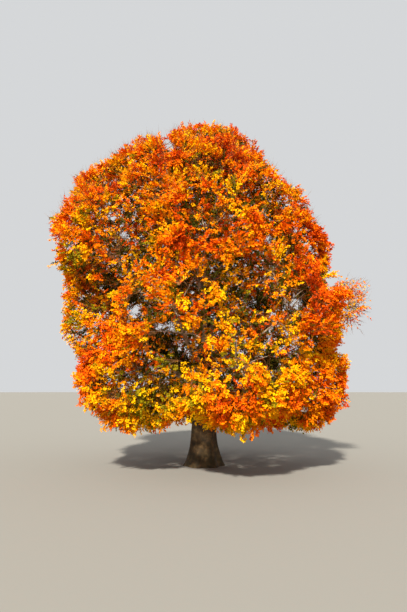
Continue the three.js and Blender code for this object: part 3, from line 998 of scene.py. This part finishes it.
def spread_points(mass, spacing):
    """Points spread evenly through a mass's box, about one for each cube of that spacing."""
    low, high = (mass.centre + sign * BOX_SPREAD * mass.halves for sign in (-1, 1))
    count = int(np.prod(high - low) / spacing**3)
    steps = np.array([1 / EVEN_ROOT, 1 / EVEN_ROOT**2, 1 / EVEN_ROOT**3])
    shares = (0.5 + np.arange(1, count + 1)[:, None] * steps) % 1
    return low + shares * (high - low)


def points_in(mass, spacing, share):
    """Even points in a mass's space, and in the crown to a share of its depth."""
    points = spread_points(mass, spacing)
    near = mass.within_walls(points, CREASE_CLEARANCE) & (mass.depth(points) < FARTHEST_DEPTH)
    points = points[near & (points[:, 2] > LOWEST_LEAF + ABOVE_LOWEST)]
    depth = mass.depth(points) if mass is thin_arm else crown_depth(points)
    return points[depth < share * roughness(points)]


def nearest_of(points, targets):
    """For each target, the number of the point that is nearest to it."""
    tree = search_tree(points)
    return [tree.find(target)[1] for target in targets]


def slanting_paths(feet, ways, tips, steps):
    """Curves that leave along their carrier and bend towards their tips."""
    reach = np.linalg.norm(tips - feet, axis=1, keepdims=True)
    knees = feet + unit(ways + unit(tips - feet)) * reach * 0.5
    shares = np.linspace(0, 1, steps + 1)[None, :, None]
    first = feet[:, None] + (knees - feet)[:, None] * shares
    second = knees[:, None] + (tips - knees)[:, None] * shares
    return first + (second - first) * shares


def branchlets_of(mass):
    """The paths of a mass's branchlets."""
    limbs = [stems[mass.name], *mass_limbs[mass.name]]
    places = np.concatenate([limb.points(CARRYING_PLACES) for limb in limbs])
    ways = np.concatenate([limb.tangents(CARRYING_PLACES) for limb in limbs])
    targets = points_in(mass, BRANCHLET_SPACING, BRANCHLET_DEPTH)
    targets = targets[clear_of_boughs(targets, BRANCHLET_CLEARANCE)]
    nearest = nearest_of(places, targets)
    feet, ways = places[nearest], ways[nearest]
    far = np.linalg.norm(targets - feet, axis=1) > SHORTEST_BRANCHLET
    return slanting_paths(feet[far], ways[far], targets[far], BRANCHLET_STEPS)


branchlets = {mass.name: branchlets_of(mass) for mass in masses}
print("Branchlets:", sum(len(paths) for paths in branchlets.values()))

# %% [markdown]
# A beech holds its leaves in flat sprays: a twig of a hand's length or two, with leaves in
# two ranks. The outer skin of the crown is full of sprays in level shelves, and the shaded
# inside has few. The top has more of them inside, since it is thin and stands against the
# sky. Behind, the skin follows the dents of the outline, so that it has no holes. A spray
# grows outwards and a little aside, and its face turns up and out to the light, so that
# sprays overlap like shingles.

# %% Sprays
SEED = 1107
SPRAY_SPACING = 0.194
SPRAY_DEPTH, TIP_DEPTH = 0.89, 0.96  # of the crown, for a spray's base and tip
SPRAY_LENGTH, SPRAY_LENGTHS = 0.36, (0.75, 1.25)
SPRAY_CLEARANCE, BOX_CLEARANCE = 0.12, 0.05
BASE_STRAY, FACE_STRAY = 0.06, 0.3
AXIS_OUT, AXIS_ASIDE, AXIS_ONWARDS = 0.62, 0.55, 0.2
FACE_OUT, FACE_UP = 0.75, 0.6
TWIG_LEAFY = 0.9  # the share of a twig, at most, that carries leaves
SKIN, BACK_SKIN = 0.8, 0.7  # metres under the outline that are full of sprays
SUNLIT_SKIN = 0.45
DENTED_SKIN = -1.0  # the back skin begins here, along +Y
CORE = (5.5, 11.5)  # the heights on the trunk that outwards is reckoned from
NUDGE = 1e-6  # so that nothing has a length of 0
INSIDE_SHARE, TOP_SHARE = 0.062, 0.19  # of the sprays under the skin, low down and on top
TOP_FROM, TOP_FULL = 14.5, 16.5
SHADE_SHARE = 0.6
THIN_SHARE = 0.35
SHELF = np.array([0.85, 0.85, 0.38])  # the size of a shelf of sprays
BETWEEN_SHELVES = -0.2  # noise below this is a gap between two shelves
# The shadier the place, the more dark green leaves: real late leaves, and painted shade.
GREEN_SKIN, GREEN_INSIDE, GREEN_SHADED = 0.05, 0.42, 0.9  # shares that are still green


def skin_of(points):
    """Whether points lie close, or very close, under the crown's outline, and the way out."""
    heights = np.clip(points[:, 2], *CORE)
    outwards = unit(points - UP * heights[:, None])
    behind = points[:, 1] > DENTED_SKIN
    outline = np.where(behind, np.minimum(1, roughness(points)), 1)
    thickness = np.where(behind, BACK_SKIN, SKIN)[:, None]
    in_skin = crown_depth(points + thickness * outwards) > outline
    sunlit = crown_depth(points + SUNLIT_SKIN * outwards) > 1
    return in_skin, sunlit, outwards


def sprays_of(mass, random):
    """Where a mass's sprays start, which way they run and face, and how they are lit."""
    bases = points_in(mass, SPRAY_SPACING, SPRAY_DEPTH)
    bases = bases + random.normal(0, BASE_STRAY, bases.shape)
    in_skin, sunlit, outwards = skin_of(bases)
    shelved = noise_at(bases / SHELF, 1.0) > BETWEEN_SHELVES
    shaded = behind_hollows(bases)
    inside = np.interp(bases[:, 2], (TOP_FROM, TOP_FULL), (INSIDE_SHARE, TOP_SHARE))
    chance = np.where(in_skin & shelved, leafiness(bases), inside)
    chance = np.where(shaded, SHADE_SHARE, chance)
    if mass is thin_arm:
        chance = np.full(len(bases), THIN_SHARE)
    keep = random.random(len(bases)) < chance
    keep &= ~in_openings(bases) & clear_of_boughs(bases, SPRAY_CLEARANCE)
    bases, outwards, in_skin, sunlit, shaded = (
        values[keep] for values in (bases, outwards, in_skin, sunlit, shaded)
    )
    places = branchlets[mass.name][:, 1:].reshape(-1, 3)
    feet = places[nearest_of(places, bases)]
    aside = unit(np.cross(outwards, random.normal(0, 1, bases.shape)))
    onwards = unit(bases - feet + NUDGE)
    axes = unit(AXIS_OUT * outwards + AXIS_ASIDE * aside + AXIS_ONWARDS * onwards)
    loose = random.normal(0, FACE_STRAY, bases.shape)
    faces = unit(outwards * FACE_OUT + UP * FACE_UP + loose)
    faces = unit(faces - axes * (faces * axes).sum(1, keepdims=True))
    # Shaded sprays get the dark green, partly as painted shade; sunlit ones get none.
    green_share = np.where(sunlit, 0.0, np.where(in_skin, GREEN_SKIN, GREEN_INSIDE))
    return {
        "feet": feet,
        "bases": bases,
        "axes": axes,
        "faces": faces,
        "lengths": SPRAY_LENGTH * random.uniform(*SPRAY_LENGTHS, len(bases)),
        "green_share": np.where(shaded, GREEN_SHADED, green_share),
        "thin": np.full(len(bases), mass is thin_arm),
        "inner": ~in_skin,
    }


random = np.random.default_rng(SEED)
grown = [sprays_of(mass, random) for mass in masses]
sprays = {key: np.concatenate([part[key] for part in grown]) for key in grown[0]}
tips = sprays["bases"] + sprays["axes"] * sprays["lengths"][:, None]
twig_lengths = np.linalg.norm(tips - sprays["feet"], axis=1)
sprays["tips"] = tips
sprays["axes"] = unit(tips - sprays["feet"])
sprays["lengths"] = np.minimum(sprays["lengths"], TWIG_LEAFY * twig_lengths)
within = crown_depth(tips) < TIP_DEPTH * roughness(tips)
within |= sprays["thin"]
within &= inside_box(tips, BOX_CLEARANCE) & ~in_openings(tips)
sprays = {key: values[within] for key, values in sprays.items()}
print("Sprays:", len(sprays["bases"]), "of them under the skin:", int(sprays["inner"].sum()))

# %% [markdown]
# Stems, limbs, branchlets and twigs are rods that taper to a point. All of them share one
# function, which lays a ring of corners at each step of each path and closes both ends.

# %% Meshes from arrays
ASKEW = (0.31, 0.17, 0.93)  # a direction that hardly any rod has


def foliage_piece(name, points, face_lists, material, smooth=False):
    """A piece of the crown from its points and from lists of faces, each of one width."""
    mesh = bpy.data.meshes.new(name)
    widths = np.concatenate([np.full(len(faces), faces.shape[1]) for faces in face_lists])
    corners = np.concatenate([faces.ravel() for faces in face_lists])
    mesh.vertices.add(len(points))
    mesh.vertices.foreach_set("co", points.astype(np.float32).ravel())
    mesh.loops.add(len(corners))
    mesh.loops.foreach_set("vertex_index", corners.astype(np.int32))
    mesh.polygons.add(len(widths))
    starts = np.concatenate([[0], np.cumsum(widths)[:-1]])
    mesh.polygons.foreach_set("loop_start", starts.astype(np.int32))
    mesh.polygons.foreach_set("use_smooth", np.full(len(widths), smooth))
    mesh.update(calc_edges=True)
    mesh.validate()
    return tree_piece(name, mesh, material, *FOLIAGE_NODES)


def tapering_rods(paths, radii, sides):
    """Points and faces of rods along paths, with a radius at each step but the last."""
    count, stations = paths.shape[:2]
    rings = stations - 1
    main = unit(paths[:, -1] - paths[:, 0])
    across = unit(np.cross(main, ASKEW))
    third = np.cross(main, across)
    angles = 2 * np.pi * np.arange(sides) / sides
    out = (
        across[:, None] * np.cos(angles)[None, :, None]
        + third[:, None] * np.sin(angles)[None, :, None]
    )
    wide = out[:, None] * radii[:, :rings, None, None]
    ring_points = (paths[:, :rings, None] + wide).reshape(count, rings * sides, 3)
    points = np.concatenate([ring_points, paths[:, -1:]], axis=1)
    ring, side = np.meshgrid(np.arange(rings - 1), np.arange(sides), indexing="ij")
    here, beside = ring * sides + side, ring * sides + (side + 1) % sides
    walls = np.stack([here, beside, beside + sides, here + sides], -1).reshape(-1, 4)
    last = (rings - 1) * sides
    around = np.arange(sides)
    tip = np.full(sides, rings * sides)
    cone = np.stack([last + around, last + (around + 1) % sides, tip], -1)
    foot = around[::-1][None]
    shift = (np.arange(count) * (rings * sides + 1))[:, None, None]
    faces = [(part[None] + shift).reshape(-1, part.shape[1]) for part in (walls, cone, foot)]
    return points.reshape(-1, 3), faces


def joined(parts):
    """One set of points and faces from several."""
    points, face_lists, shift = [], [], 0
    for part_points, part_faces in parts:
        points.append(part_points)
        face_lists += [faces + shift for faces in part_faces]
        shift += len(part_points)
    return np.concatenate(points), face_lists


# %% [markdown]
# The stems and limbs inside the masses are thick enough to show through the openings, so
# they have more sides than branchlets and twigs.

# %% Wood of the crown
LIMB_STATIONS = np.linspace(0, 1, 9)
STEM_SIDES, LIMB_SIDES = 10, 7


def limb_rods(limbs, sides):
    """Points and faces of limbs that bend a little from side to side."""
    paths = [bent(limb.points(LIMB_STATIONS), LIMB_STATIONS, LIMB_BEND) for limb in limbs]
    radii = [limb.radius_at(LIMB_STATIONS) for limb in limbs]
    return tapering_rods(np.stack(paths), np.stack(radii), sides)


all_limbs = [limb for mass in masses for limb in mass_limbs[mass.name]]
wood = [limb_rods(list(stems.values()), STEM_SIDES), limb_rods(all_limbs, LIMB_SIDES)]
foliage_piece("stems_and_limbs", *joined(wood), bough_bark, smooth=True)

paths = np.concatenate([branchlets[mass.name] for mass in masses])
thinning = np.linspace(*BRANCHLET_RADII, BRANCHLET_STEPS + 1)
radii = np.repeat(thinning[None], len(paths), axis=0)
foliage_piece("branchlets", *tapering_rods(paths, radii, BRANCHLET_SIDES), twig_material)

# %% [markdown]
# Each spray's twig is a straight, slender cone from its branchlet to the spray's tip. Some
# twigs at the top of the crown, and those of the thin arm, go on bare past their last leaf
# and fork, as they do once the wind has had the outermost leaves.

# %% Twigs of the sprays
TWIG_RADIUS, TWIG_SIDES = 0.0075, 3
BARE_ABOVE, BARE_DEPTH = 12.0, 0.88  # only up there, and so near the outline
BARE_SHARE = 0.6
BARE_LENGTH, BARE_LENGTHS = 0.42, (0.5, 1.3)
BARE_RADIUS = 0.006
BARE_FORKS, BARE_STRAY = 2, 0.3
THIN_LIFT, TOP_LIFT = 0.2, 0.9  # how much they turn upwards


def add_twigs(name, feet, tips, radius):
    """A piece of slender cones, of that radius at their feet."""
    radii = np.full((len(feet), 1), radius)
    rods = tapering_rods(np.stack([feet, tips], axis=1), radii, TWIG_SIDES)
    foliage_piece(name, *rods, twig_material)


count = len(sprays["bases"])
tips, thin = sprays["tips"], sprays["thin"]
exposed = (crown_depth(tips) > BARE_DEPTH) & (tips[:, 2] > BARE_ABOVE)
bare = (exposed & (random.random(count) < BARE_SHARE)) | thin
bare_feet = np.repeat(tips[bare], BARE_FORKS, axis=0)
lift = np.where(thin[bare], THIN_LIFT, TOP_LIFT)[:, None]
bare_ways = np.repeat(unit(sprays["axes"][bare] + UP * lift), BARE_FORKS, axis=0)
bare_ways = unit(bare_ways + random.normal(0, BARE_STRAY, bare_ways.shape))
bare_lengths = BARE_LENGTH * random.uniform(*BARE_LENGTHS, len(bare_ways))
bare_tips = bare_feet + bare_ways * bare_lengths[:, None]
fits = inside_box(bare_tips)
for side, chosen in {"left": tips[:, 0] < 0, "right": tips[:, 0] >= 0}.items():
    add_twigs("twigs_" + side, sprays["feet"][chosen], tips[chosen], TWIG_RADIUS)
add_twigs("twigs_bare", bare_feet[fits], bare_tips[fits], BARE_RADIUS)

# %% [markdown]
# The tints follow the photograph: orange nearly everywhere, a little more gold low down, and
# a little redder at the top and at right. Slow noise moves whole boughs towards one tint,
# quicker noise moves tufts, and chance moves single sprays. A beech turns from the outside
# in, so its shaded leaves are still green. That green is dark, and it fills the backs of the
# hollows, so it is painted shade as well: it darkens the inside of the crown.

# %% Tints
SHARES = {
    "olive": 0.06,
    "gold": 0.175,
    "amber": 0.22,
    "orange": 0.24,
    "flame": 0.15,
    "copper": 0.1,
    "russet": 0.055,
}
BOUGH_TINT, BOUGH_TINT_SIZE = 0.5, 2.4
TUFT_TINT, TUFT_TINT_SIZE, TUFT_TINT_SHIFT = 0.6, 0.9, 50
REDDER_RIGHT, REDDER_UP, MIDDLE_HEIGHT = 0.012, 0.018, 10
SPRAY_TINT, REDDER_THIN = 0.17, 0.2

bases = sprays["bases"]
redness = (
    BOUGH_TINT * noise_at(bases, BOUGH_TINT_SIZE)
    + TUFT_TINT * noise_at(bases + TUFT_TINT_SHIFT, TUFT_TINT_SIZE)
    + REDDER_RIGHT * bases[:, 0]
    + REDDER_UP * (bases[:, 2] - MIDDLE_HEIGHT)
    + random.normal(0, SPRAY_TINT, count)
    + REDDER_THIN * thin
)
order = np.argsort(np.argsort(redness)) / count
edges = np.cumsum(list(SHARES.values()))
tint_numbers = np.minimum(np.searchsorted(edges, order), len(SHARES) - 1)
# Dark green leaves in the shade inside the crown and behind the hollows, partly painted shade.
green_for_shade = (random.random(count) < sprays["green_share"]) & ~thin
tint_numbers[green_for_shade] = len(SHARES)

# %% [markdown]
# A leaf is a kite of four corners and two faces, folded a little on its midrib, with its tip
# bent down. It is nearly twice as long as a real beech leaf, so that some four hundred
# thousand of them fill a crown that really has many more. Leaves alternate along the twig,
# close to it near the tip, and each is turned out of the spray's plane.

# %% Leaves
LEAVES_PER_SPRAY = 12
FIRST_LEAF = 0.06  # of the leafy part of the twig
LEAF_LENGTH, LEAF_LENGTHS = 0.138, (0.78, 1.16)
SMALLER_TIP = 0.2  # how much smaller the last leaf is
LEAF_WIDTH = 0.72  # of its length
FOLD, DROOP = 0.2, 0.12
SPLAY, CLOSER_TIP = 68, 34  # degrees from the twig at its foot, and how many less at its tip
SPLAY_STRAY, WAY_STRAY, TILT_STRAY, ROOT_STRAY = 0.16, 0.14, 0.8, 0.02
FALLEN, FALLEN_THIN = 0.04, 0.75  # shares of leaves that are missing
MOST_LEAVES = 95000  # in one piece, of two triangles each
OUTLINE = np.array(
    [
        # along the leaf, across it in half widths, up in folds, down in droops
        (0.0, 0, 0, 0),
        (0.45, 1, 1, 0.2),
        (1.0, 0, 0, 1),
        (0.45, -1, 1, 0.2),
    ]
)
LEAF_FACES = np.array([(0, 1, 2), (0, 2, 3)])


def leaves_on(chosen):
    """The corners of all leaves of the chosen sprays, four to a leaf."""
    number = np.arange(LEAVES_PER_SPRAY)
    along = FIRST_LEAF + (1 - FIRST_LEAF) * number / (LEAVES_PER_SPRAY - 1)
    side = np.where(number % 2 == 0, 1.0, -1.0)
    side[-1] = 0  # the last leaf ends the twig
    shape = (chosen.sum(), LEAVES_PER_SPRAY)
    axes, faces = sprays["axes"][chosen][:, None], sprays["faces"][chosen][:, None]
    across = np.cross(faces, axes)
    splay = np.radians(SPLAY - CLOSER_TIP * along) + random.normal(0, SPLAY_STRAY, shape)
    ways = axes * np.cos(splay)[..., None] + across * (side * np.sin(splay))[..., None]
    ways = unit(ways + random.normal(0, WAY_STRAY, (*shape, 3)))
    uppers = faces + random.normal(0, TILT_STRAY, (*shape, 3))
    uppers = unit(uppers - ways * (uppers * ways).sum(-1, keepdims=True))
    rights = np.cross(ways, uppers)
    back = (1 - along) * sprays["lengths"][chosen][:, None]
    roots = sprays["tips"][chosen][:, None] - axes * back[..., None]
    roots = roots + random.normal(0, ROOT_STRAY, roots.shape)
    smaller = 1 - SMALLER_TIP * along**3
    size = LEAF_LENGTH * random.uniform(*LEAF_LENGTHS, shape) * smaller
    x, y, fold, droop = (OUTLINE[:, column][None, None, :, None] for column in range(4))
    offset = (
        ways[:, :, None] * x
        + rights[:, :, None] * y * LEAF_WIDTH / 2
        + uppers[:, :, None] * (FOLD * fold - DROOP * droop)
    )
    corners = roots[:, :, None] + offset * size[..., None, None]
    missing = np.where(thin[chosen], FALLEN_THIN, FALLEN)[:, None]
    return corners[random.random(shape) > missing]


for tint_number, tint in enumerate([*SHARES, "green"]):
    corners = leaves_on(tint_numbers == tint_number)
    middles = corners.mean(axis=1)
    inside = inside_box(corners).all(axis=1) & ~in_openings(middles) & ~before_limbs(middles)
    corners = corners[inside]
    corners = corners[np.argsort(corners[:, 0, 2], kind="stable")]
    pieces = math.ceil(len(corners) / MOST_LEAVES)
    for number, part in enumerate(np.array_split(corners, pieces)):
        shift = (4 * np.arange(len(part)))[:, None, None]
        faces = (LEAF_FACES[None] + shift).reshape(-1, 3)
        name = f"leaves_{tint}_{number + 1}"
        piece = foliage_piece(name, part.reshape(-1, 3), [faces], leaf_materials[tint])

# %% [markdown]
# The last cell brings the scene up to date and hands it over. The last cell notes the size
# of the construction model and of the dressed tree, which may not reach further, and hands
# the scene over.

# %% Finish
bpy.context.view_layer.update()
